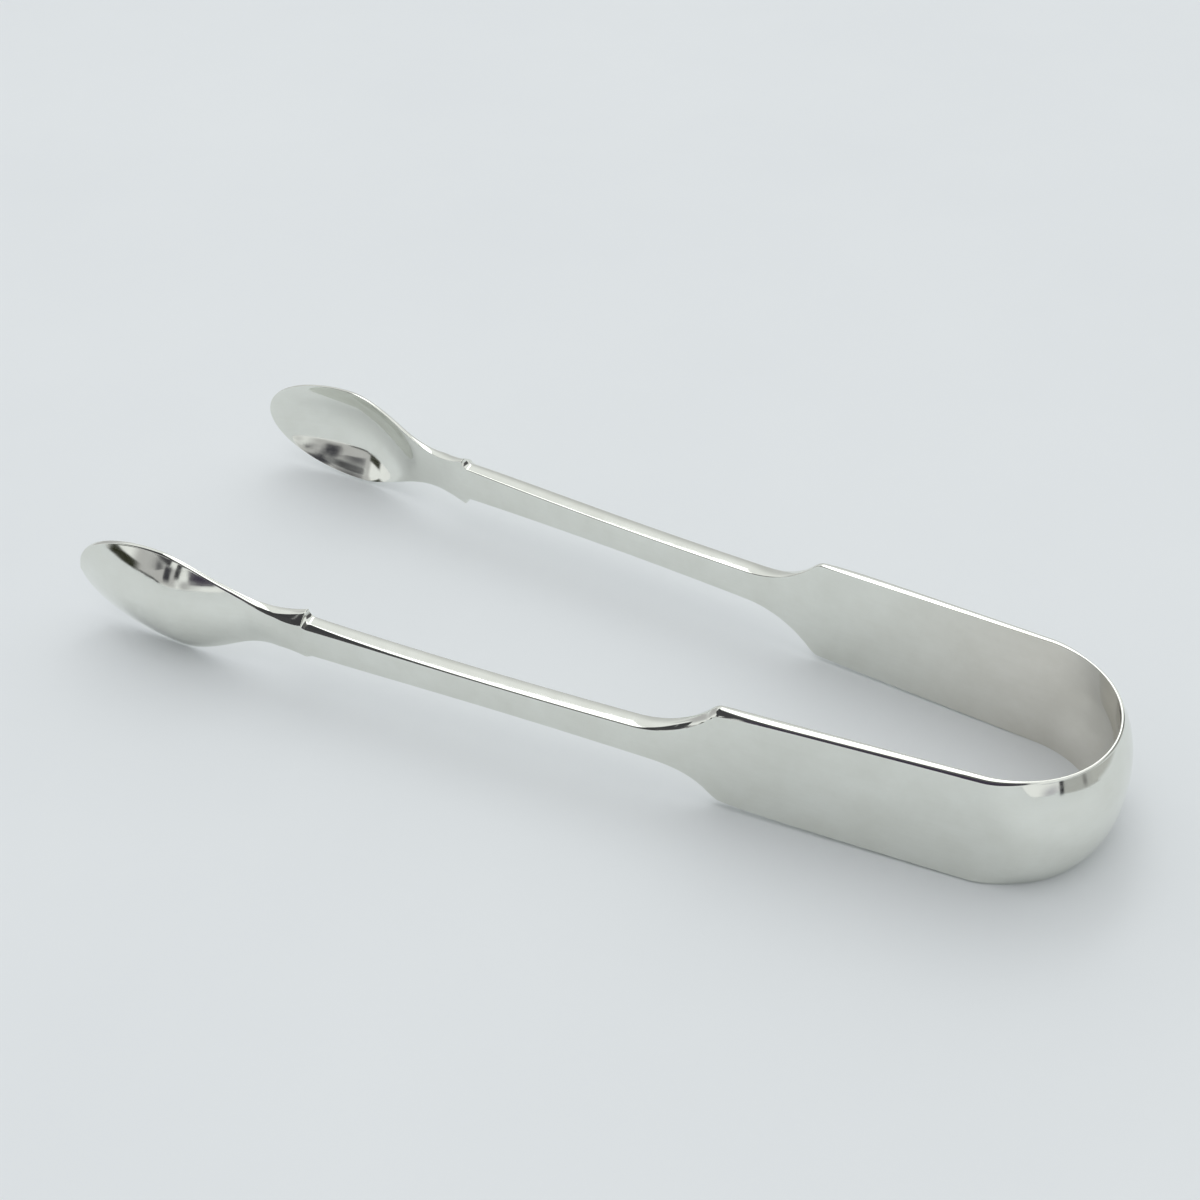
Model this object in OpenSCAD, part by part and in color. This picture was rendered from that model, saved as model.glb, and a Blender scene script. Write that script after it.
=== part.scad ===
// Fiddle-pattern sugar tongs, lying on their side.
// One sprung strip runs from bowl to bowl round a bow. Its sections are separate solids.
// +X points from the bowls to the bow, +Y across, +Z up. The left arm is on the -Y side.

/* [Bow] */
// Inside radius of the bow, at its rims
bow_r = 12.5; // [10:0.1:16]
// Width of the strip round the bow
bow_w = 17; // [14:0.1:20]
// Thickness of the strip at the bow's rims
bow_rim_t = 0.45; // [0.4:0.05:0.8]
// Thickness along the middle of the strip round the bow
bow_mid_t = 1.1; // [0.9:0.05:1.6]
// Depth of the hollow along the inside of the bow
bow_hollow = 1.2; // [0.6:0.1:1.8]
// Angle from the middle of the bow to the line where each arm flexes
flex_angle = 45; // [30:1:50]
// Angle from the middle of the bow at which the domed strip starts to flatten
flatten_from = 60; // [50:1:66]
// Angle of each arm off the centre line
splay = 3.9; // [2:0.1:6]

/* [Panels] */
// Length of each flat panel, from the bow to its shoulders
panel_l = 31.6; // [26:0.2:40]
// Thickness of the panel where it meets the bow
panel_t = 1; // [0.9:0.05:1.5]
// Width of the panel at its shoulders
shoulder_w = 15.6; // [12:0.1:18]
// Thickness of the panel at its shoulders
shoulder_t = 1.5; // [1.2:0.05:2.2]
// Radius of the scoop from each shoulder down to the stem
scoop_r = 13.5; // [10:0.5:20]
// Bevel along the outer edges of the bow, panels and bowls
edge_bevel = 0.2; // [0.1:0.05:0.3]

/* [Stems] */
// Length from the shoulders to the lugs
stem_l = 58.2; // [45:0.2:70]
// Width of the stem at its waist
waist_w = 4.5; // [3.4:0.1:5.5]
// Width of the stem at its two ends
stem_end_w = 5.6; // [4.4:0.1:6.6]
// Thickness of the stem
stem_t = 2.4; // [1.6:0.1:3]
// Bevel along the outer edges of the stem
stem_bevel = 0.45; // [0.2:0.05:0.7]

/* [Lugs and necks] */
// Width across each pair of lugs
lug_w = 7.8; // [6.8:0.1:9]
// Length of each lug
lug_l = 5; // [2:0.1:6]
// Bevel filed across each lug
lug_bevel = 1.3; // [0.6:0.1:1.6]
// Radius of the cove at the foot of each lug
cove_r = 1; // [0.5:0.1:2]
// Width of the neck at its narrowest
neck_w = 5.9; // [4.2:0.1:6.4]
// Length from the lugs to the place where the neck starts to widen
neck_l = 5; // [3:0.1:7]

/* [Bowls] */
// Width of the bowl
bowl_w = 16.3; // [13:0.1:20]
// Length from the bowl's widest line to its tip
bowl_tip_l = 16.1; // [12:0.1:20]
// Length over which the neck widens into the bowl
widen_l = 17.2; // [15:0.1:22]
// Length of the hollow behind the bowl's widest line
bowl_heel_l = 12.4; // [9:0.1:14]
// Depth of the bowl below its rim
bowl_depth = 3.2; // [2:0.1:5]
// Thickness of the rim
bowl_rim_t = 0.8; // [0.6:0.05:1.2]
// Thickness at the middle of the bowl
bowl_mid_t = 0.5; // [0.4:0.05:1.2]
// Length from the lugs over which the edges thin to the rim
rim_thin_l = 11.5; // [8:0.5:16]
// Length from the lugs over which the neck thins to the bowl's wall
wall_thin_l = 17; // [12:0.5:20]
// How far the widest line of the rim is set out from the line of the arm
bowl_set = 1.25; // [0.5:0.05:2.5]
// Angle by which the bowl turns in from the line of the arm
bowl_turn = 4; // [0:0.1:5]

/* [Hidden] */

// The strip is measured in the line of a straight arm: x runs from the bow's centre,
// with the arm towards -x, and its inner face lies at y = bow_r.
shoulder_x = -panel_l;
lug_x = shoulder_x - stem_l;
spoon_l = neck_l + widen_l;
lug_step = (lug_w - stem_end_w) / 2;
bowl_x = lug_x - spoon_l;
tip_x = bowl_x - bowl_tip_l;

// The scoop is an arc that runs into the stem with no corner
scoop_rise = (shoulder_w - stem_end_w) / 2;
scoop_l = sqrt(2 * scoop_r * scoop_rise - pow(scoop_rise, 2));
scoop_x = shoulder_x - scoop_l;

// End of each leg of the bow, as an angle from the bow's middle
leg_end = 90 - splay;
// Fullness of a dome or hollow: 2 is a parabola, and a higher power is fuller towards its edges
bow_dome = 2.5;
spoon_dome = 2;
// How the bowl's hollow deepens from its heel: a lower power deepens more evenly
heel_power = 1.6;

// The last section of the bowl stands just short of the tip of its ellipse
tip_angle = 87;
// Sections along a curved stretch, and spans across a curved face
sections = 14;
face_spans = 10;
cove_spans = 6;

// Place of the whole: resting on its lower edges, with the origin below its middle
mid_z = max(bow_w, shoulder_w, bowl_w) / 2;
bow_out_r = bow_r + bow_hollow + bow_mid_t;
tip_rim_y = bow_r + rim_line(tip_x);
tip_reach = -tip_x * cos(splay) - tip_rim_y * sin(splay);
overall_l = bow_out_r + tip_reach;
bow_x = overall_l / 2 - bow_out_r;

// Silver, as the photograph shows it: a shade darker on the broad faces
silver = [0.80, 0.81, 0.80];
silver_stem = [0.86, 0.87, 0.86];
silver_bowl = [0.76, 0.77, 0.76];

function mix(a, b, share) = a + (b - a) * share;
function clamp01(v) = max(0, min(1, v));
function smooth(v) = let (u = clamp01(v)) u * u * (3 - 2 * u);
function steps(a, b, n) = [for (i = [0:n]) mix(a, b, i / n)];

// One cross-section of the strip, as [outward, up] points round its edge.
// The inner face is hollowed by hollow over hollow_half each way, and the outer face crowns to
// crown over the middle and falls to edge_t at the two bevelled edges.
function section(half, edge_t, crown, hollow, hollow_half, bevel, dome) =
    let (across = steps(-1, 1, face_spans),
         out_half = half - bevel)
    concat(
        [for (u = across) [hollow * max(0, 1 - pow(abs(u) * half / hollow_half, dome)), u * half]],
        [[edge_t - bevel, half]],
        [for (u = across) [edge_t + (crown - edge_t) * (1 - pow(abs(u), dome)), -u * out_half]],
        [[edge_t - bevel, -half]]);

// A cross-section with two flat faces
function flat_section(half, t, bevel) =
    [[0, -half], [0, half], [t - bevel, half],
     [t, half - bevel], [t, bevel - half], [t - bevel, -half]];

// Bow: domed outside and hollow inside, and flat at the end of its legs
function bow_section(angle) =
    let (bowed = 1 - smooth((angle - flatten_from) / (leg_end - flatten_from)),
         hollow = bow_hollow * bowed)
    section(bow_w / 2,
            mix(panel_t, bow_rim_t, bowed),
            hollow + mix(panel_t, bow_mid_t, bowed),
            hollow, bow_w / 2, edge_bevel, bow_dome);

function panel_section(x) =
    let (along = x / shoulder_x)
    flat_section(mix(bow_w, shoulder_w, along) / 2, mix(panel_t, shoulder_t, along), edge_bevel);

// Stem: flat faces, waisted between its two ends
function stem_half(x) =
    let (from_waist = (x - (shoulder_x + lug_x) / 2) / (stem_l / 2))
    mix(waist_w, stem_end_w, from_waist * from_waist) / 2;
// Rise of the cove that runs from the stem's edges up to the lugs
function lug_cove(x) =
    let (u = clamp01(1 - (x - lug_x) / cove_r))
    lug_step * (1 - sqrt(1 - u * u));
function stem_section(x) =
    let (rise = lug_cove(x))
    flat_section(stem_half(x) + rise, stem_t, mix(stem_bevel, lug_bevel, rise / lug_step));
// Stations along the stem, drawn together in the cove
function stem_stations() =
    concat(steps(scoop_x, lug_x + cove_r, sections),
           [for (a = steps(0, 90, cove_spans)) if (a > 0) lug_x + cove_r * (1 - sin(a))]);

// Scoop: the panel's shoulders curve down into the stem, which thickens meanwhile
function scoop_section(x) =
    let (share = smooth((shoulder_x - x) / scoop_l),
         rise = scoop_r - sqrt(pow(scoop_r, 2) - pow(x - scoop_x, 2)))
    flat_section(stem_half(x) + rise, mix(shoulder_t, stem_t, share), mix(edge_bevel, stem_bevel, share));

// Rim of the spoon: leaves the arm's line along the neck, then runs straight and turned in
function rim_line(x) =
    smooth((lug_x - x) / spoon_l) * (bowl_set + (x - bowl_x) * tan(bowl_turn));

// Neck and heel: lugs, then the neck, which widens into the bowl. The hollow has a round heel.
function heel_section(x) =
    let (from_lug = lug_x - x,
         filed = clamp01(1 - from_lug / lug_l),
         widen = smooth(1 - (x - bowl_x) / widen_l),
         half = (mix(neck_w, bowl_w, widen) + (lug_w - neck_w) * filed * filed) / 2,
         hollow_share = max(0, 1 - pow((x - bowl_x) / bowl_heel_l, heel_power)),
         hollow_half = min(half, max(bowl_w / 2 * sqrt(hollow_share), edge_bevel)),
         hollow = bowl_depth * hollow_share)
    section(half,
            mix(stem_t, bowl_rim_t, smooth(from_lug / rim_thin_l)),
            hollow + mix(stem_t, bowl_mid_t, smooth(from_lug / wall_thin_l)),
            hollow, hollow_half, mix(edge_bevel, lug_bevel, filed), spoon_dome);

// Front of the bowl: half an ellipse, hollow as a paraboloid
function tip_section(angle) =
    let (half = bowl_w / 2 * cos(angle),
         hollow = bowl_depth * pow(cos(angle), 2))
    section(half, bowl_rim_t,
            hollow + mix(bowl_rim_t, bowl_mid_t, cos(angle)),
            hollow, half, min(edge_bevel, half / 2), spoon_dome);
function tip_station(angle) = bowl_x - bowl_tip_l * sin(angle) / sin(tip_angle);

// Ring of a section standing at x on the arm, set out by offset from the arm's line
function ring(x, points, offset = 0) = [for (p = points) [x, bow_r + offset + p[0], p[1]]];
// Ring of a section standing at an angle on the bow
function bow_ring(angle, points) =
    [for (p = points) [(bow_r + p[0]) * cos(angle), (bow_r + p[0]) * sin(angle), p[1]]];

// Triangles that fill one section: strips between its two faces, and a corner at each edge
function cap_faces(n) =
    let (m = n / 2 - 2)
    concat([for (i = [0:m - 1])
                let (a = i, b = i + 1, c = n - 3 - i, d = n - 2 - i)
                each [[a, b, c], [a, c, d]]],
           [[m, m + 1, m + 2], [n - 2, n - 1, 0]]);

// Closed skin through rings of equal point counts
module loft(rings) {
    n = len(rings[0]);
    last = len(rings) - 1;
    sides = [for (r = [0:last - 1], i = [0:n - 1])
        let (j = (i + 1) % n, a = r * n, b = a + n)
        each [[a + i, b + j, a + j], [a + i, b + i, b + j]]];
    first_cap = cap_faces(n);
    last_cap = [for (f = first_cap) [for (i = [2:-1:0]) last * n + f[i]]];
    polyhedron(points = [for (r = rings) each r], faces = concat(sides, first_cap, last_cap));
}

// The right arm is built in the line of a straight arm, then splayed about the bow's centre
module splayed_arm() translate([bow_x, 0, mid_z]) rotate([0, 0, -splay]) children();
module left() mirror([0, 1, 0]) children();

module bow_crown() color(silver)
    translate([bow_x, 0, mid_z])
        rotate([0, 0, -flex_angle])
            rotate_extrude(angle = 2 * flex_angle)
                translate([bow_r, 0]) polygon(bow_section(0));

module bow_leg() color(silver)
    translate([bow_x, 0, mid_z])
        loft([for (a = steps(flex_angle, leg_end, sections)) bow_ring(a, bow_section(a))]);

module panel() color(silver) splayed_arm()
    loft(concat(
        [for (x = steps(0, shoulder_x, sections)) ring(x, panel_section(x))],
        [for (x = steps(shoulder_x, scoop_x, sections)) if (x < shoulder_x) ring(x, scoop_section(x))]));

module stem() color(silver_stem) splayed_arm()
    loft([for (x = stem_stations()) ring(x, stem_section(x))]);

module bowl() color(silver_bowl) splayed_arm()
    loft(concat(
        [for (x = steps(lug_x, bowl_x, 2 * sections)) ring(x, heel_section(x), rim_line(x))],
        [for (a = steps(0, tip_angle, sections))
            let (x = tip_station(a))
            if (a > 0) ring(x, tip_section(a), rim_line(x))]));

bow_crown();
left() bow_leg();  // left_bow_leg
left() panel();  // left_panel
left() stem();  // left_stem
left() bowl();  // left_bowl
bow_leg();  // right_bow_leg
panel();  // right_panel
stem();  // right_stem
bowl();  // right_bowl
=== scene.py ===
# Fiddle-pattern sugar tongs in polished silver, lying on their side on a pale table.
import math
from collections import namedtuple

import bmesh
import bpy
from mathutils import Matrix, Quaternion, Vector


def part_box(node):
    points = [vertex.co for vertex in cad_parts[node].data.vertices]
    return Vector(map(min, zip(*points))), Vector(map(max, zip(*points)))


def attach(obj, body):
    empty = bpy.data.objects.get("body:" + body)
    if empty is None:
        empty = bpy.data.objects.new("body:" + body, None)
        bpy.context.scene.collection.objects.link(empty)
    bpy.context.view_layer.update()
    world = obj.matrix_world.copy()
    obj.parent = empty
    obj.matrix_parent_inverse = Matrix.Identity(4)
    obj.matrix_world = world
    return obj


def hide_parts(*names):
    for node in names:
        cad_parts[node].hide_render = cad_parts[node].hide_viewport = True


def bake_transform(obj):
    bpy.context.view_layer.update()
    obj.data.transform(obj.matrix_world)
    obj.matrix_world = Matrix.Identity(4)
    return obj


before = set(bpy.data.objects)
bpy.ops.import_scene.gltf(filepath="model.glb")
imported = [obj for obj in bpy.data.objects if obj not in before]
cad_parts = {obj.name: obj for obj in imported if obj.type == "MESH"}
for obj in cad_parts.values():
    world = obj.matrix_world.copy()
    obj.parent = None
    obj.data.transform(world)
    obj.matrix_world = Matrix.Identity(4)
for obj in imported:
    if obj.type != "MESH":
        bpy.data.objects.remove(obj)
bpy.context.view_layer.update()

# Sizes of the tongs, in millimetres
MM = 0.001

BOW_R = 12.5            # inside radius of the bow, at its rims
BOW_W = 17.0            # width of the strip round the bow
BOW_RIM_T = 0.45        # thickness at the bow's rims
BOW_MID_T = 1.1         # thickness along the middle of the bow
BOW_HOLLOW = 1.2        # hollow along the inside of the bow
BOW_DOME = 2.5          # fullness of the bow's dome
BOW_CHANNEL = 0.25      # share of the bow's inside that is flat, between two sloping margins
CHANNEL_SOFTNESS = 0.12
FLATTEN_FROM = 58.0     # from the middle of the bow, where the domed strip starts to flatten
SPLAY = 3.9             # of each arm off the centre line

PANEL_L = 31.6
PANEL_T = 1.0
SHOULDER_W = 15.6
SHOULDER_T = 1.5
SCOOP_R = 13.5          # scoop from each shoulder down to the stem
SCOOP_REACH = 0.97      # share of its radius along which the scoop is followed
CORNER_WEAR = 0.9       # reach of the wear that rounds each shoulder

STEM_L = 58.2           # from the shoulders to the lugs
WAIST_W = 4.5
STEM_END_W = 5.6
STEM_T = 2.4

LUG_W = 7.8
LUG_L = 5.0
NECK_W = 5.9
NECK_L = 5.0

WIDEN_L = 17.2          # over which the neck widens into the bowl
RIM_THIN_L = 11.5       # over which the edges thin from the stem's to the bowl's rim
WALL_THIN_L = 17.0      # over which the neck thins to the bowl's wall
BOWL_W = 16.3
BOWL_TIP_L = 16.1
BOWL_HEEL_L = 12.4      # hollow behind the bowl's widest line
HEEL_POWER = 1.6        # how the hollow deepens from its heel
BOWL_DEPTH = 3.2
BOWL_RIM_T = 0.8
BOWL_MID_T = 0.5
BOWL_SET = 1.25
BOWL_TURN = 4.0
HEEL_SOFTNESS = 0.09    # how softly the hollow runs out at its heel
HEEL_BACK_POWER = 1.7   # fullness of the bowl's back, towards the heel
BOWL_BACK_POWER = 2.0   # and from the widest line on
BACK_ROUND = 0.25       # share of the width over which the back's middle is rounded

# Worn edges: the outer bevels are broad beside the shoulders, and the lugs are filed to a facet
INNER_ROUND = 0.08              # inner edges
STEM_ROUND = 0.18               # and those of the stems, which are more worn
ROUND_FADE = 1.5
EDGE_CROWN = 0.044              # rise of a worn edge's middle, as a share of its flat
BOW_BEVEL = (0.2, 0.2)          # outward, upward
LEG_BEVEL = (0.42, 0.42)
PANEL_BEVEL = (0.3, 0.32)
SHOULDER_BEVEL = (0.95, 0.85)
STEM_BEVEL = (0.2, 0.19)
STEM_END_BEVEL = (0.85, 0.6)
LUG_FACET = (1.6, 1.2)
NECK_BEVEL = (0.5, 0.45)
RIM_BEVEL = (0.35, 0.22)
BEVEL_FADE = 8.0
NECK_BEVEL_L = 16.0
LEG_BEVEL_FADE = 8.0
LEG_BEVEL_TURN = 46.0           # round the bow, over which its rim's bevel narrows
SHOULDER_BEVEL_FADE = 3.0
LUG_FACET_L = 4.5
LUG_WEAR = 0.12
# Share of a bevel that is a straight facet: on the bow's and bowls' rims, the panels and the lugs
ROUND_BEVEL, WORN_FACET, FILED_FACET = 0.2, 0.6, 0.85
HOLD = 0.05             # narrow row beside each edge, which keeps the broad faces flat
# At the bowls' tips each stays under this part of the half width
TIP_BEVEL_PART, TIP_ROUND_PART, TIP_HOLD_PART = 3, 6, 12

# Where the parts of one arm begin, along the strip from the middle of the bow
LEG_END = math.radians(90.0 - SPLAY)
LEG_L = BOW_R * LEG_END
SCOOP_RISE = (SHOULDER_W - STEM_END_W) / 2
SCOOP_L = math.sqrt(2 * SCOOP_R * SCOOP_RISE - SCOOP_RISE ** 2)
SPOON_L = NECK_L + WIDEN_L
SHOULDER_AT = LEG_L + PANEL_L
SCOOP_END_AT = SHOULDER_AT + SCOOP_L
LUG_AT = SHOULDER_AT + STEM_L
BOWL_AT = LUG_AT + SPOON_L
BOW_RUN_ON = 2.0        # the bow's skin runs on to the flat of the panel
BOW_SEAM_AT = LEG_L + BOW_RUN_ON
LUG_STEP = (LUG_W - STEM_END_W) / 2
COVE_R = 1.0            # cove at the foot of each lug

# Place of the bow in the frame
BOW_OUT_R = BOW_R + BOW_HOLLOW + BOW_MID_T
MID_Z = BOW_W / 2
BOW_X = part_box("bow_crown")[1].x / MM - BOW_OUT_R


def mix(a, b, share):
    return a + (b - a) * share


def smooth(v):
    u = min(1.0, max(0.0, v))
    return u * u * (3 - 2 * u)


def soft_min(a, b, reach):
    """The lesser of two lengths, with the corner between them rounded."""
    near = max(reach - abs(a - b), 0.0) / reach
    return min(a, b) - near * near * reach / 4


def soft_positive(v, softness):
    return (v + math.sqrt(v * v + softness * softness)) / 2


def spread(a, b, n):
    return [mix(a, b, i / n) for i in range(n + 1)]


# Forged shape of the strip: each section is given by its half width, its two faces and its edges
def stem_half(s):
    middle = (SHOULDER_AT + LUG_AT) / 2
    from_waist = (s - middle) / (STEM_L / 2)
    return mix(WAIST_W, STEM_END_W, from_waist ** 2) / 2


def arm_half(s):
    """Half width of panel, scoop and stem, with the shoulder's corner worn round."""
    panel = mix(BOW_W, SHOULDER_W, (s - LEG_L) / PANEL_L) / 2
    left = SCOOP_END_AT - s
    if left <= 0:
        return stem_half(s)
    if left >= SCOOP_REACH * SCOOP_R:
        return panel
    rise = SCOOP_R - math.sqrt(SCOOP_R ** 2 - left ** 2)
    return soft_min(panel, stem_half(s) + rise, CORNER_WEAR)


def arm_thickness(s):
    if s < SHOULDER_AT:
        return mix(PANEL_T, SHOULDER_T, (s - LEG_L) / PANEL_L)
    return mix(SHOULDER_T, STEM_T, smooth((s - SHOULDER_AT) / SCOOP_L))


def lug_cove(s):
    """Rise of the small cove that the file left at the foot of each lug."""
    x = LUG_AT - s
    if x >= COVE_R:
        return 0.0
    share = 1 - math.sqrt(1 - (1 - x / COVE_R) ** 2)
    return (LUG_STEP - LUG_WEAR) * share


def mix_bevel(a, b, share):
    return mix(a[0], b[0], share), mix(a[1], b[1], share)


def arm_bevel(s):
    if s < SHOULDER_AT:
        bevel = mix_bevel(PANEL_BEVEL, LEG_BEVEL, math.exp((LEG_L - s) / LEG_BEVEL_FADE))
        return mix_bevel(bevel, SHOULDER_BEVEL, math.exp((s - SHOULDER_AT) / SHOULDER_BEVEL_FADE))
    bevel = mix_bevel(SHOULDER_BEVEL, STEM_BEVEL, smooth((s - SHOULDER_AT) / SCOOP_L))
    bevel = mix_bevel(bevel, STEM_END_BEVEL, math.exp((s - LUG_AT) / BEVEL_FADE))
    return mix_bevel(bevel, LUG_FACET, lug_cove(s) / LUG_STEP)


def rim_line(s):
    """How far the spoon's rim is set out from the line of the arm."""
    turned = BOWL_SET - (s - BOWL_AT) * math.tan(math.radians(BOWL_TURN))
    return smooth((s - LUG_AT) / SPOON_L) * turned


Section = namedtuple("Section", "half edge bevel facet inner outer inner_round")


def bow_section(s):
    angle = math.degrees(min(s, LEG_L) / BOW_R)
    bowed = 1 - smooth((angle - FLATTEN_FROM) / (math.degrees(LEG_END) - FLATTEN_FROM))
    hollow = BOW_HOLLOW * bowed
    half = BOW_W / 2 if s <= LEG_L else arm_half(s)
    edge = mix(PANEL_T, BOW_RIM_T, bowed) if s <= LEG_L else arm_thickness(s)
    narrowed = smooth((math.degrees(LEG_END) - angle) / LEG_BEVEL_TURN)
    bevel = mix_bevel(LEG_BEVEL, BOW_BEVEL, narrowed)
    crown = hollow + mix(edge, BOW_MID_T, bowed)

    def inner(z):
        margin = (abs(z / half) - BOW_CHANNEL) / (1 - BOW_CHANNEL)
        return hollow * (1 - soft_positive(margin, CHANNEL_SOFTNESS))

    def outer(z):
        return edge + (crown - edge) * (1 - abs(z / (half - bevel[1])) ** BOW_DOME)

    facet = mix(WORN_FACET, ROUND_BEVEL, narrowed)
    return Section(half, edge, bevel, facet, inner, outer, INNER_ROUND)


def arm_round(s):
    if s < SHOULDER_AT:
        return mix(INNER_ROUND, STEM_ROUND, math.exp((s - SHOULDER_AT) / ROUND_FADE))
    return mix(STEM_ROUND, INNER_ROUND, math.exp((s - LUG_AT) / ROUND_FADE))


def arm_section(s):
    t = arm_thickness(s)
    half = arm_half(s) + lug_cove(s)
    filed = math.exp((s - LUG_AT) / BEVEL_FADE)
    facet = mix(WORN_FACET, FILED_FACET, filed)
    return Section(half, t, arm_bevel(s), facet, lambda z: 0.0, lambda z: t, arm_round(s))


def spoon_section(s):
    from_lug = s - LUG_AT
    ahead = BOWL_AT - s
    edge = mix(STEM_T, BOWL_RIM_T, smooth(from_lug / RIM_THIN_L))
    filed = max(0.0, 1 - from_lug / LUG_FACET_L)
    rounded = smooth(from_lug / NECK_BEVEL_L)
    bevel = mix_bevel(mix_bevel(NECK_BEVEL, RIM_BEVEL, rounded), LUG_FACET, filed)
    facet = mix(FILED_FACET, ROUND_BEVEL, rounded)
    wide = BOWL_W / 2
    if ahead >= 0:
        widen = smooth(1 - ahead / WIDEN_L)
        flare = max(0.0, 1 - from_lug / LUG_L) ** 2
        worn = max(0.0, 1 - from_lug / LUG_WEAR) ** 2 * LUG_WEAR
        half = (mix(NECK_W, BOWL_W, widen) + (LUG_W - NECK_W) * flare) / 2 - worn
        share = 1 - (ahead / BOWL_HEEL_L) ** HEEL_POWER
        wall = mix(STEM_T, BOWL_MID_T, smooth(from_lug / WALL_THIN_L))
        power = mix(BOWL_BACK_POWER, HEEL_BACK_POWER, smooth(ahead / (SPOON_L - LUG_FACET_L)))
    else:
        share = 1 - (ahead / BOWL_TIP_L) ** 2
        tip = math.sqrt(max(share, 0.0))
        half = wide * tip
        wall = mix(BOWL_RIM_T, BOWL_MID_T, tip)
        power = BOWL_BACK_POWER
        bevel = min(bevel[0], half / TIP_BEVEL_PART), min(bevel[1], half / TIP_BEVEL_PART)
    crown = wall + BOWL_DEPTH * soft_positive(share, HEEL_SOFTNESS)
    set_out = rim_line(s)

    def inner(z):
        if share > 0 and half < wide * math.sqrt(share):
            depth = share * (1 - (z / half) ** 2)
        else:
            depth = share - (z / wide) ** 2
        return set_out + BOWL_DEPTH * soft_positive(depth, HEEL_SOFTNESS)

    def outer(z):
        u = z / (half - bevel[1])
        fall = (u * u + BACK_ROUND ** 2) ** (power / 2) - BACK_ROUND ** power
        whole = (1 + BACK_ROUND ** 2) ** (power / 2) - BACK_ROUND ** power
        return set_out + edge + (crown - edge) * (1 - fall / whole)

    return Section(half, edge + set_out, bevel, facet, inner, outer, INNER_ROUND)


# Rows of faces across one section
FACE_SPANS = 26
ROUND_STEPS = 3
CROWN_SPANS = 6
BEVEL_STEPS = 8


def ring(section):
    """One section as [outward, up] points: inner face, upper edge, outer face, lower edge."""
    half, edge, (bevel_out, bevel_up), facet, inner, outer, inner_round = section
    small = min(inner_round, half / TIP_ROUND_PART)
    hold = min(HOLD, half / TIP_HOLD_PART)
    flat = half - small
    inner_z = [-flat] + spread(hold - flat, flat - hold, FACE_SPANS) + [flat]
    face = half - bevel_up
    outer_z = [face] + spread(face - hold, hold - face, FACE_SPANS) + [-face]
    lip = inner(flat)
    worn_from, worn_to = lip + small, edge - bevel_out
    sag = EDGE_CROWN * (worn_to - worn_from)
    upper = []
    steepest = math.atan(4 * EDGE_CROWN)
    for a in spread(0.0, math.pi / 2 - steepest, ROUND_STEPS)[1:-1]:
        out = (1 - math.cos(a)) / (1 - math.sin(steepest))
        upper.append((lip + small * out, mix(flat, half - sag, math.sin(a) / math.cos(steepest))))
    for n, share in zip(spread(worn_from, worn_to, CROWN_SPANS), spread(-1.0, 1.0, CROWN_SPANS)):
        upper.append((n, half - sag * share ** 2))
    for t in spread(0.0, 1.0, BEVEL_STEPS)[1:-1]:
        a = mix(steepest, math.pi / 2, t)
        out = mix((math.sin(a) - math.sin(steepest)) / (1 - math.sin(steepest)), t, facet)
        drop = mix(1 - math.cos(a) / math.cos(steepest), t, facet)
        upper.append((worn_to + bevel_out * out, half - mix(sag, bevel_up, drop)))
    lower = [(n, -z) for n, z in reversed(upper)]
    return [(inner(z), z) for z in inner_z] + upper + [(outer(z), z) for z in outer_z] + lower


def forged_blank(name, stations, section_at):
    """A closed stretch of the flat strip: x along it, y outward, z across, in metres."""
    rings = [ring(section_at(s)) for s in stations]
    mesh = bpy.data.meshes.new(name)
    bm = bmesh.new()
    strip = bm.loops.layers.uv.new("strip")
    rows = [[bm.verts.new((s * MM, n * MM, z * MM)) for n, z in points]
            for s, points in zip(stations, rings)]
    count = len(rows[0])
    for i in range(len(rows) - 1):
        for j in range(count):
            k = (j + 1) % count
            quad = bm.faces.new((rows[i][j], rows[i][k], rows[i + 1][k], rows[i + 1][j]))
            places = ((i, j), (i, j + 1), (i + 1, j + 1), (i + 1, j))
            for loop, (a, b) in zip(quad.loops, places):
                loop[strip].uv = (stations[a] * MM, rings[a][b % count][1] * MM)
    bm.faces.new(list(reversed(rows[0])))
    bm.faces.new(rows[-1])
    bm.to_mesh(mesh)
    bm.free()
    blank = bpy.data.objects.new(name, mesh)
    bpy.context.scene.collection.objects.link(blank)
    return blank


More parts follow.
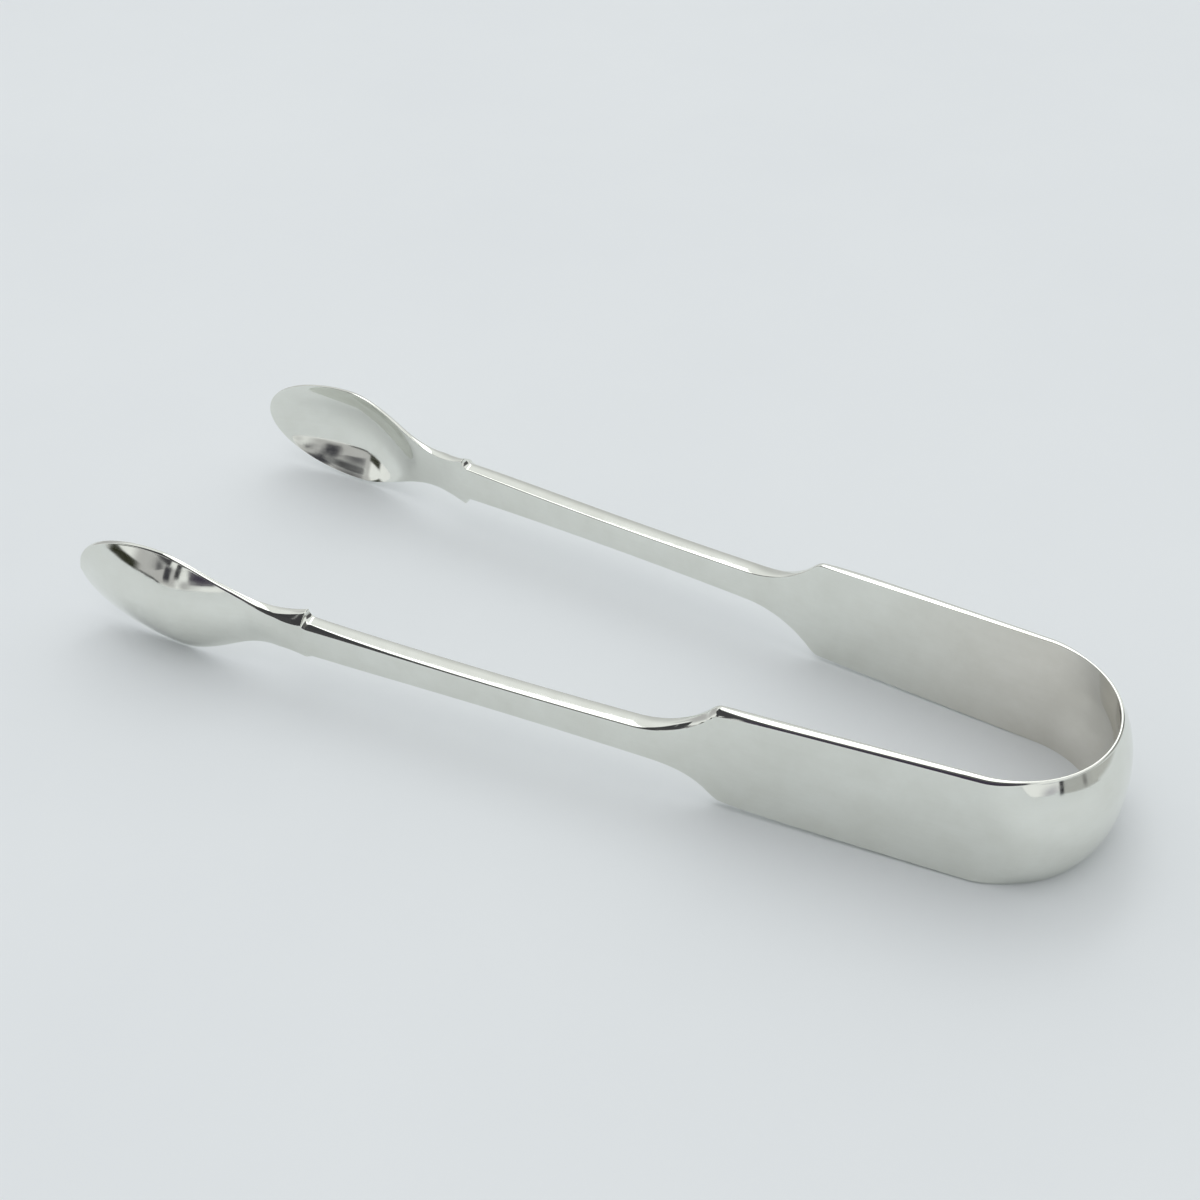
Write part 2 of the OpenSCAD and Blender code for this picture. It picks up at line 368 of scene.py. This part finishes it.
# Bending: a node tree that lays the flat strip round the bow and along one splayed arm
def bending_tree():
    tree = bpy.data.node_groups.new("bend_the_strip", "GeometryNodeTree")
    face = tree.interface
    face.new_socket("Geometry", in_out="INPUT", socket_type="NodeSocketGeometry")
    for label in ("Bow Radius", "Leg Angle", "Bow Centre", "Middle Height", "Side"):
        face.new_socket(label, in_out="INPUT", socket_type="NodeSocketFloat")
    face.new_socket("Finish", in_out="INPUT", socket_type="NodeSocketMaterial")
    face.new_socket("Geometry", in_out="OUTPUT", socket_type="NodeSocketGeometry")
    nodes, links = tree.nodes, tree.links
    given = nodes.new("NodeGroupInput").outputs

    def math_node(operation, a, b=None):
        node = nodes.new("ShaderNodeMath")
        node.operation = operation
        for socket, value in zip(node.inputs, (a, b)):
            if isinstance(value, (int, float)):
                socket.default_value = value
            elif value is not None:
                links.new(value, socket)
        return node.outputs[0]

    place = nodes.new("ShaderNodeSeparateXYZ")
    links.new(nodes.new("GeometryNodeInputPosition").outputs[0], place.inputs[0])
    along, outward, across = place.outputs
    angle = math_node("MINIMUM", math_node("DIVIDE", along, given["Bow Radius"]), given["Leg Angle"])
    bent = math_node("MULTIPLY", given["Bow Radius"], given["Leg Angle"])
    straight = math_node("MAXIMUM", math_node("SUBTRACT", along, bent), 0.0)
    reach = math_node("ADD", given["Bow Radius"], outward)
    cos, sin = math_node("COSINE", angle), math_node("SINE", angle)
    x = math_node("SUBTRACT", math_node("MULTIPLY", reach, cos), math_node("MULTIPLY", straight, sin))
    y = math_node("ADD", math_node("MULTIPLY", reach, sin), math_node("MULTIPLY", straight, cos))
    joined = nodes.new("ShaderNodeCombineXYZ")
    links.new(math_node("ADD", given["Bow Centre"], x), joined.inputs[0])
    links.new(math_node("MULTIPLY", y, given["Side"]), joined.inputs[1])
    links.new(math_node("ADD", across, given["Middle Height"]), joined.inputs[2])
    bend = nodes.new("GeometryNodeSetPosition")
    links.new(given["Geometry"], bend.inputs["Geometry"])
    links.new(joined.outputs[0], bend.inputs["Position"])
    turned = nodes.new("GeometryNodeFlipFaces")
    links.new(bend.outputs[0], turned.inputs["Mesh"])
    links.new(math_node("LESS_THAN", given["Side"], 0.0), turned.inputs["Selection"])
    whole = nodes.new("GeometryNodeRealizeInstances")
    links.new(turned.outputs[0], whole.inputs[0])
    finish = nodes.new("GeometryNodeSetMaterial")
    links.new(whole.outputs[0], finish.inputs["Geometry"])
    links.new(given["Finish"], finish.inputs["Material"])
    links.new(finish.outputs[0], nodes.new("NodeGroupOutput").inputs[0])
    return tree


SMOOTH_UNDER = math.radians(38)


def bent_piece(blank, tree, side, finish):
    """The blank bent to its place on one side, as a plain mesh object."""
    modifier = blank.modifiers.new("bend", "NODES")
    modifier.node_group = tree
    values = {"Bow Radius": BOW_R * MM, "Leg Angle": LEG_END, "Bow Centre": BOW_X * MM,
              "Middle Height": MID_Z * MM, "Side": float(side), "Finish": finish}
    for item in tree.interface.items_tree:
        if item.in_out == "INPUT" and item.name in values:
            modifier[item.identifier] = values[item.name]
    bpy.context.view_layer.update()
    mesh = bpy.data.meshes.new_from_object(blank.evaluated_get(bpy.context.evaluated_depsgraph_get()))
    blank.modifiers.clear()
    flat = blank.data
    name = blank.name
    bpy.data.objects.remove(blank)
    bpy.data.meshes.remove(flat)
    mesh.name = name
    mesh.polygons.foreach_set("use_smooth", [True] * len(mesh.polygons))
    mesh.set_sharp_from_angle(angle=SMOOTH_UNDER)
    piece = bpy.data.objects.new(name, mesh)
    bpy.context.scene.collection.objects.link(piece)
    return piece


# Finishes
DULL_SILVER = (0.775, 0.784, 0.725, 1.0)
BRIGHT_SILVER = (0.845, 0.858, 0.805, 1.0)
# Painted warm reflection: the tint that darkens the bow's inner faces
INSIDE_REFLECTION_TINT = (0.98, 0.935, 0.925, 1.0)
RUB_SHARE, HAIRLINE_SHARE = 0.35, 0.15      # of each kind of mark in the tint
TABLE_SHADE = (0.795, 0.825, 0.845, 1.0)
TABLE_PALE = (0.815, 0.845, 0.862, 1.0)


def node(tree, kind, **settings):
    made = tree.nodes.new(kind)
    for key, value in settings.items():
        if key in made.inputs:
            made.inputs[key].default_value = value
        else:
            setattr(made, key, value)
    return made


def ranged(tree, value, start, end, to_start=0.0, to_end=1.0, kind="LINEAR"):
    """A value carried from one range to another."""
    made = node(tree, "ShaderNodeMapRange", interpolation_type=kind)
    limits = {"From Min": start, "From Max": end, "To Min": to_start, "To Max": to_end}
    for label, limit in limits.items():
        made.inputs[label].default_value = limit
    tree.links.new(value, made.inputs["Value"])
    return made.outputs["Result"]


def two_tints(tree, value, low, low_tint, high, high_tint):
    made = node(tree, "ShaderNodeValToRGB")
    for stop, place, tint in zip(made.color_ramp.elements, (low, high), (low_tint, high_tint)):
        stop.position = place
        stop.color = tint
    tree.links.new(value, made.inputs["Fac"])
    return made.outputs["Color"]


def polished_silver():
    """Old polished silver: hairlines along the strip, soft rub marks, clouds of tarnish and a painted
    warm reflection inside the bow.
    """
    material = bpy.data.materials.new("polished_silver")
    material.use_nodes = True
    tree = material.node_tree
    shader = tree.nodes["Principled BSDF"]
    shader.inputs["Metallic"].default_value = 1.0
    shader.inputs["Specular Tint"].default_value = (1.0, 1.0, 1.0, 1.0)
    place = node(tree, "ShaderNodeTexCoord")
    strip = node(tree, "ShaderNodeUVMap", uv_map="strip")

    # Hairlines left by polishing, drawn out along the strip
    drawn = node(tree, "ShaderNodeMapping", Scale=(60.0, 2600.0, 1.0))
    tree.links.new(strip.outputs["UV"], drawn.inputs["Vector"])
    hairline = node(tree, "ShaderNodeTexNoise", Scale=1.0, Detail=4.0, Roughness=0.6)
    tree.links.new(drawn.outputs["Vector"], hairline.inputs["Vector"])

    # Clouds of tarnish over millimetres, with rub marks and hairlines that show in the tint
    cloud = node(tree, "ShaderNodeTexNoise", Scale=160.0, Detail=3.0, Roughness=0.55)
    tree.links.new(place.outputs["Object"], cloud.inputs["Vector"])
    rub = node(tree, "ShaderNodeTexNoise", Scale=420.0, Detail=4.0, Roughness=0.65)
    tree.links.new(place.outputs["Object"], rub.inputs["Vector"])
    tinted_by = cloud.outputs["Fac"]
    for marks, share in ((rub, RUB_SHARE), (hairline, HAIRLINE_SHARE)):
        worn = node(tree, "ShaderNodeMix", data_type="FLOAT")
        worn.inputs[0].default_value = share
        tree.links.new(tinted_by, worn.inputs[2])
        tree.links.new(marks.outputs["Fac"], worn.inputs[3])
        tinted_by = worn.outputs[0]
    tint = two_tints(tree, tinted_by, 0.35, DULL_SILVER, 0.65, BRIGHT_SILVER)

    # Painted warm reflection inside the bow: its inner faces take a darker, warmer tint, which runs out
    # along the panels
    from_bow = node(tree, "ShaderNodeVectorMath", operation="SUBTRACT")
    from_bow.inputs[1].default_value = (BOW_X * MM, 0.0, 0.0)
    tree.links.new(place.outputs["Object"], from_bow.inputs[0])
    sides = node(tree, "ShaderNodeSeparateXYZ")
    tree.links.new(from_bow.outputs[0], sides.inputs[0])
    ahead = node(tree, "ShaderNodeMath", operation="MAXIMUM")
    ahead.inputs[1].default_value = 0.0
    tree.links.new(sides.outputs[0], ahead.inputs[0])
    outward = node(tree, "ShaderNodeCombineXYZ")
    tree.links.new(ahead.outputs[0], outward.inputs[0])
    tree.links.new(sides.outputs[1], outward.inputs[1])
    facing = node(tree, "ShaderNodeVectorMath", operation="DOT_PRODUCT")
    tree.links.new(outward.outputs[0], facing.inputs[0])
    tree.links.new(place.outputs["Normal"], facing.inputs[1])
    inside = ranged(tree, facing.outputs["Value"], -0.004, -0.010)
    near_bow = ranged(tree, sides.outputs[0], -PANEL_L * MM, BOW_R / 2 * MM, kind="SMOOTHSTEP")
    painted_inside_reflection = node(tree, "ShaderNodeMath", operation="MULTIPLY")
    tree.links.new(inside, painted_inside_reflection.inputs[0])
    tree.links.new(near_bow, painted_inside_reflection.inputs[1])
    warm = node(tree, "ShaderNodeMix", data_type="RGBA", blend_type="MULTIPLY")
    tree.links.new(painted_inside_reflection.outputs[0], warm.inputs[0])
    tree.links.new(tint, warm.inputs[6])
    warm.inputs[7].default_value = INSIDE_REFLECTION_TINT
    tree.links.new(warm.outputs[2], shader.inputs["Base Color"])

    # Rub marks and hairlines dull the polish where they meet
    both = node(tree, "ShaderNodeMath", operation="MULTIPLY")
    tree.links.new(rub.outputs["Fac"], both.inputs[0])
    tree.links.new(hairline.outputs["Fac"], both.inputs[1])
    tree.links.new(ranged(tree, both.outputs[0], 0.12, 0.42, 0.05, 0.12), shader.inputs["Roughness"])

    # Slight unevenness of hand-finished metal
    hand = node(tree, "ShaderNodeTexNoise", Scale=230.0, Detail=2.0, Roughness=0.5)
    tree.links.new(place.outputs["Object"], hand.inputs["Vector"])
    sway = node(tree, "ShaderNodeBump", Strength=0.08, Distance=0.0002)
    tree.links.new(hand.outputs["Fac"], sway.inputs["Height"])
    scratch = node(tree, "ShaderNodeBump", Strength=0.05, Distance=0.00002)
    tree.links.new(hairline.outputs["Fac"], scratch.inputs["Height"])
    tree.links.new(sway.outputs["Normal"], scratch.inputs["Normal"])
    tree.links.new(scratch.outputs["Normal"], shader.inputs["Normal"])
    return material


def pale_table():
    material = bpy.data.materials.new("pale_table")
    material.use_nodes = True
    tree = material.node_tree
    shader = tree.nodes["Principled BSDF"]
    shader.inputs["Roughness"].default_value = 0.7
    shader.inputs["Specular IOR Level"].default_value = 0.1
    place = node(tree, "ShaderNodeTexCoord")
    cloud = node(tree, "ShaderNodeTexNoise", Scale=14.0, Detail=4.0, Roughness=0.6)
    tree.links.new(place.outputs["Object"], cloud.inputs["Vector"])
    tint = two_tints(tree, cloud.outputs["Fac"], 0.3, TABLE_SHADE, 0.7, TABLE_PALE)
    tree.links.new(tint, shader.inputs["Base Color"])
    return material


# The two halves of the tongs
def stations_for(start, stretches, end_row=0.02):
    """Distances along the strip: a thin row at each end keeps the skin's shading true across a seam."""
    made = [start, start + end_row]
    for stop, step in stretches:
        spans = max(1, round((stop - made[-1]) / step))
        made += spread(made[-1], stop, spans)[1:]
    return made[:-1] + [made[-1] - end_row, made[-1]]


# Each stretch is given by where it stops and the spacing of its rows
BEFORE_SHOULDER, PAST_SHOULDER, BEFORE_LUG = 2.0, 1.5, 12.0
BOW_ROWS = stations_for(0.0, [(LEG_L, 0.16), (BOW_SEAM_AT, 0.4)])
PANEL_ROWS = stations_for(BOW_SEAM_AT, [(SHOULDER_AT - BEFORE_SHOULDER, 0.8),
                                        (SHOULDER_AT + PAST_SHOULDER, 0.1), (SCOOP_END_AT, 0.3)])
STEM_ROWS = stations_for(SCOOP_END_AT, [(LUG_AT - BEFORE_LUG, 1.0), (LUG_AT - COVE_R, 0.3)])
COVE_TURNS = 14
STEM_ROWS += [LUG_AT - COVE_R * (1 - math.sin(math.radians(a))) for a in
              spread(0.0, 90.0, COVE_TURNS)[1:]]
WEAR_SPANS, LUG_SPANS, NECK_SPANS = 5, 30, 56
BOWL_ROWS = spread(LUG_AT, LUG_AT + LUG_WEAR, WEAR_SPANS)[:-1]
BOWL_ROWS += spread(LUG_AT + LUG_WEAR, LUG_AT + LUG_L, LUG_SPANS)
BOWL_ROWS += spread(LUG_AT + LUG_L, BOWL_AT, NECK_SPANS)[1:-1]
TIP_TURNS = 46
TIP_LAST_TURN = 89.2    # the last row lies just short of the tip, which a small face closes
BOWL_ROWS += [BOWL_AT + BOWL_TIP_L * math.sin(math.radians(a)) for a in
              spread(0.0, TIP_LAST_TURN, TIP_TURNS)]

# Turns round the bow from its middle, at which points on the bow are worked out
BEND_TURNS = (18.0, 80.0)
BEND_R = (BOW_R + BOW_OUT_R) / 2


def on_bow(degrees, sign):
    a = math.radians(degrees)
    return (BOW_X + BEND_R * math.cos(a)) * MM, sign * BEND_R * math.sin(a) * MM, MID_Z * MM


bending = bending_tree()
silver = polished_silver()
for side, sign in (("left", -1), ("right", 1)):
    arm = side + "_arm"
    bow = bent_piece(forged_blank("bow_" + side, BOW_ROWS, bow_section), bending, sign, silver)
    panel = bent_piece(forged_blank("panel_" + side, PANEL_ROWS, arm_section), bending, sign, silver)
    stem = bent_piece(forged_blank("stem_" + side, STEM_ROWS, arm_section), bending, sign, silver)
    bowl = bent_piece(forged_blank("bowl_" + side, BOWL_ROWS, spoon_section), bending, sign, silver)
    for piece, nodes in ((bow, ("bow_crown", side + "_bow_leg")), (panel, (side + "_panel",)),
                         (stem, (side + "_stem",)), (bowl, (side + "_bowl",))):
        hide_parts(*nodes)
        if piece != bow:
            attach(piece, arm)
    ends = [on_bow(turn, sign) for turn in BEND_TURNS]
    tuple(ends[0])
    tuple(ends[1])
    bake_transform(bow)

# Table
TABLE_SIZE = 6.0
table_mesh = bpy.data.meshes.new("table")
corner = TABLE_SIZE / 2
table_corners = [(-corner, -corner, 0), (corner, -corner, 0), (corner, corner, 0), (-corner, corner, 0)]
table_mesh.from_pydata(table_corners, [], [(0, 1, 2, 3)])
table = bpy.data.objects.new("table", table_mesh)
table.data.materials.append(pale_table())
bpy.context.scene.collection.objects.link(table)

# Camera, at the photograph's view
IMAGE = 1200.0
SENSOR = 36.0
FOCUS_PX = 1676.46
CAMERA_AZ, CAMERA_EL, CAMERA_ROLL = math.radians(31.24), math.radians(39.863), math.radians(-3.258)
CAMERA_DISTANCE = 239.403
LOOK_AT = Vector((-6.6, 12.604, 0.0))

back = Vector((math.sin(CAMERA_AZ) * math.cos(CAMERA_EL), -math.cos(CAMERA_AZ) * math.cos(CAMERA_EL),
               math.sin(CAMERA_EL)))
level = Vector((0, 0, 1)).cross(back).normalized()
upright = back.cross(level)
right = level * math.cos(CAMERA_ROLL) + upright * math.sin(CAMERA_ROLL)
up = upright * math.cos(CAMERA_ROLL) - level * math.sin(CAMERA_ROLL)
lens = bpy.data.cameras.new("camera")
lens.sensor_width = SENSOR
lens.lens = FOCUS_PX / IMAGE * SENSOR
lens.clip_start = 0.01
lens.clip_end = 20.0
camera = bpy.data.objects.new("camera", lens)
camera.matrix_world = Matrix.Translation((LOOK_AT + back * CAMERA_DISTANCE) * MM) @ Matrix(
    (right, up, back)).transposed().to_4x4()
bpy.context.scene.collection.objects.link(camera)
bpy.context.scene.camera = camera


# Light
def softbox(name, place, size, roll, watts, colour):
    """A soft lamp that points at the middle of the tongs."""
    lamp = bpy.data.lights.new(name, "AREA")
    lamp.shape = "RECTANGLE"
    lamp.size, lamp.size_y = size
    lamp.energy = watts
    lamp.color = colour
    box = bpy.data.objects.new(name, lamp)
    box.location = place
    aim = (-Vector(place)).to_track_quat("-Z", "Y")
    box.rotation_euler = (aim @ Quaternion((0.0, 0.0, 1.0), math.radians(roll))).to_euler()
    bpy.context.scene.collection.objects.link(box)


softbox("back_softbox", (-0.582, 0.903, 1.687), size=(1.6, 0.5), roll=40.0, watts=4.4,
        colour=(0.98, 0.995, 1.0))
softbox("overhead_lamp", (0.02, -0.22, 1.63), size=(1.0, 1.0), roll=0.0, watts=2.8,
        colour=(1.0, 0.995, 0.98))


def reflection_glow(name, grey, soft):
    """A painted reflection: a card's glow, seen only in the metal, which fades out towards the card's
    edges over a share of its size.
    """
    material = bpy.data.materials.new(name)
    material.use_nodes = True
    tree = material.node_tree
    tree.nodes.clear()
    glow = node(tree, "ShaderNodeEmission")
    glow.inputs["Color"].default_value = (*grey, 1.0)
    place = node(tree, "ShaderNodeUVMap", uv_map="card")
    sides = node(tree, "ShaderNodeSeparateXYZ")
    tree.links.new(place.outputs["UV"], sides.inputs[0])
    cover = node(tree, "ShaderNodeMath", operation="MULTIPLY")
    for i in range(2):
        from_edge = node(tree, "ShaderNodeMath", operation="PINGPONG")
        from_edge.inputs[1].default_value = 0.5
        tree.links.new(sides.outputs[i], from_edge.inputs[0])
        fade = ranged(tree, from_edge.outputs[0], 0.0, soft, kind="SMOOTHSTEP")
        tree.links.new(fade, cover.inputs[i])
    clear = node(tree, "ShaderNodeBsdfTransparent")
    both = node(tree, "ShaderNodeMixShader")
    tree.links.new(cover.outputs[0], both.inputs["Fac"])
    tree.links.new(clear.outputs[0], both.inputs[1])
    tree.links.new(glow.outputs[0], both.inputs[2])
    end = node(tree, "ShaderNodeOutputMaterial")
    tree.links.new(both.outputs[0], end.inputs["Surface"])
    return material


def sheet_of(name, corners, grey, soft):
    """A glowing card that only the polished metal sees: a painted reflection, not a lamp."""
    mesh = bpy.data.meshes.new(name)
    mesh.from_pydata(corners, [], [(0, 3, 2, 1)])
    layer = mesh.uv_layers.new(name="card")
    for loop, uv in zip(layer.data, ((0, 0), (0, 1), (1, 1), (1, 0))):
        loop.uv = uv
    mesh.materials.append(reflection_glow(name, grey, soft))
    sheet = bpy.data.objects.new(name, mesh)
    bpy.context.scene.collection.objects.link(sheet)
    sheet.visible_camera = False
    sheet.visible_diffuse = False
    sheet.visible_shadow = False
    sheet.visible_transmission = False


CARD_DISTANCE = 0.6


def degrees_wide(angle):
    return 2 * CARD_DISTANCE * math.tan(math.radians(angle / 2))


def card(around, name, azimuth, elevation, wide, high, grey, soft):
    """A painted reflection: a card that faces the tongs, by its angles. Azimuth 0 is in front of the
    left arm.
    """
    az, el = math.radians(azimuth), math.radians(elevation)
    towards = Vector((math.sin(az) * math.cos(el), -math.cos(az) * math.cos(el), math.sin(el)))
    place = Vector(around) + towards * CARD_DISTANCE
    w, h = degrees_wide(wide) / 2, degrees_wide(high) / 2
    turn = towards.to_track_quat("Z", "Y").to_matrix().to_4x4()
    corners = [Matrix.Translation(place) @ turn @ Vector((x, y, 0)) for x, y in
               ((-w, -h), (w, -h), (w, h), (-w, h))]
    sheet_of(name, corners, grey, soft)


def standing_card(name, foot_a, foot_b, height, grey, soft):
    """A painted reflection: a card that stands on the table between two points."""
    (ax, ay), (bx, by) = foot_a, foot_b
    sheet_of(name, [(ax, ay, 0.0), (bx, by, 0.0), (bx, by, height), (ax, ay, height)], grey, soft)


# Painted reflections: glowing grey cards and dark flags, posts and blocks, seen only in the metal
BY_BOWLS, BY_BOW = (-0.055, 0.0, 0.01), (0.065, -0.012, 0.012)
for around, *values in (
        (BY_BOWLS, "flag_tall", -34.0, 44.0, 32.0, 56.0, (0.06, 0.06, 0.065), 0.08),
        (BY_BOWLS, "flag_tall_side", -16.0, 50.0, 8.0, 44.0, (0.06, 0.06, 0.065), 0.08),
        (BY_BOWLS, "flag_top", 15.0, 62.0, 60.0, 24.0, (0.12, 0.12, 0.12), 0.2),
        (BY_BOWLS, "flag_low", -29.0, 9.0, 38.0, 19.0, (0.5, 0.5, 0.505), 0.12),
        (BY_BOWLS, "flag_low_middle", -31.0, 13.0, 20.0, 22.0, (0.13, 0.13, 0.14), 0.5),
        (BY_BOWLS, "flag_low_post", -20.5, 11.0, 9.0, 19.0, (0.05, 0.05, 0.06), 0.3),
        (BY_BOWLS, "flag_low_gap", -6.0, 4.0, 12.0, 14.0, (0.4, 0.4, 0.41), 0.5),
        (BY_BOWLS, "flag_foot_line", -35.0, 0.6, 22.0, 2.4, (0.05, 0.05, 0.05), 0.25),
        (BY_BOWLS, "flag_dark_foot", -50.0, 3.0, 16.0, 9.0, (0.03, 0.032, 0.02), 0.2),
        (BY_BOWLS, "flag_strip", -12.0, 21.0, 4.5, 30.0, (0.03, 0.03, 0.035), 0.2),
        (BY_BOWLS, "card_left", -95.0, 14.0, 70.0, 36.0, (0.5, 0.5, 0.51), 0.3),
        (BY_BOWLS, "flag_left_low", -64.0, 33.0, 28.0, 18.0, (0.05, 0.05, 0.055), 0.1),
        (BY_BOWLS, "flag_left", -66.0, 54.0, 32.0, 28.0, (0.05, 0.05, 0.055), 0.1),
        (BY_BOWLS, "flag_right", 14.5, 33.0, 42.0, 56.0, (0.05, 0.042, 0.065), 0.03),
        (BY_BOWLS, "flag_back", 135.0, 22.0, 34.0, 44.0, (0.08, 0.08, 0.085), 0.2),
        (BY_BOW, "flag_by_bow", 32.0, 36.0, 24.0, 48.0, (0.05, 0.045, 0.06), 0.05),
        (BY_BOW, "grey_by_bow", 57.0, 2.0, 26.0, 16.0, (0.5, 0.5, 0.54), 0.5)):
    card(around, *values)
standing_card("card_by_bow", (0.252, -0.091), (0.127, 0.008), 0.067, (0.45, 0.46, 0.455), 0.03)
standing_card("card_behind_bow", (0.1295, -0.006), (0.118, 0.085), 0.067, (0.49, 0.5, 0.49), 0.1)
standing_card("dark_post_by_bow", (0.192, -0.0712), (0.1968, -0.0602), 0.05, (0.03, 0.03, 0.035), 0.15)
standing_card("dark_block_by_bow", (0.1514, -0.0143), (0.1374, -0.0043), 0.024, (0.2, 0.2, 0.2), 0.5)

# The room: brighter above and behind, and a plain backdrop for what looks straight at it
BRIGHT_SIDE = (-0.3, 0.55, 0.78)
DIM_SIDE = (-0.4, 0.917, 0.0)
ROOM_LIGHT = (0.98, 0.995, 1.0, 1.0)
BACKDROP = (0.88, 0.90, 0.90, 1.0)

world = bpy.data.worlds.new("studio")
bpy.context.scene.world = world
world.use_nodes = True
sky = world.node_tree
sky.nodes.clear()
direction = node(sky, "ShaderNodeTexCoord").outputs["Generated"]


def glow_towards(side, colour, *range_of_strength, kind="LINEAR"):
    """A background whose strength changes towards one side."""
    towards = node(sky, "ShaderNodeVectorMath", operation="DOT_PRODUCT")
    towards.inputs[1].default_value = side
    sky.links.new(direction, towards.inputs[0])
    glow = node(sky, "ShaderNodeBackground", Color=colour)
    strength = ranged(sky, towards.outputs["Value"], *range_of_strength, kind=kind)
    sky.links.new(strength, glow.inputs["Strength"])
    return glow.outputs[0]


ambient = glow_towards(BRIGHT_SIDE, ROOM_LIGHT, -0.2, 1.0, 0.42, 0.93)
backdrop = glow_towards(DIM_SIDE, BACKDROP, 0.74, 0.96, 1.0, 0.66, kind="SMOOTHSTEP")
seen = node(sky, "ShaderNodeLightPath")
straight = seen.outputs["Is Camera Ray"]
for ray in ("Is Glossy Ray", "Is Transmission Ray"):
    more = node(sky, "ShaderNodeMath", operation="MAXIMUM")
    sky.links.new(straight, more.inputs[0])
    sky.links.new(seen.outputs[ray], more.inputs[1])
    straight = more.outputs[0]
either = node(sky, "ShaderNodeMixShader")
sky.links.new(straight, either.inputs["Fac"])
sky.links.new(ambient, either.inputs[1])
sky.links.new(backdrop, either.inputs[2])
sky.links.new(either.outputs[0], node(sky, "ShaderNodeOutputWorld").inputs["Surface"])

bpy.context.scene.view_settings.view_transform = "Standard"
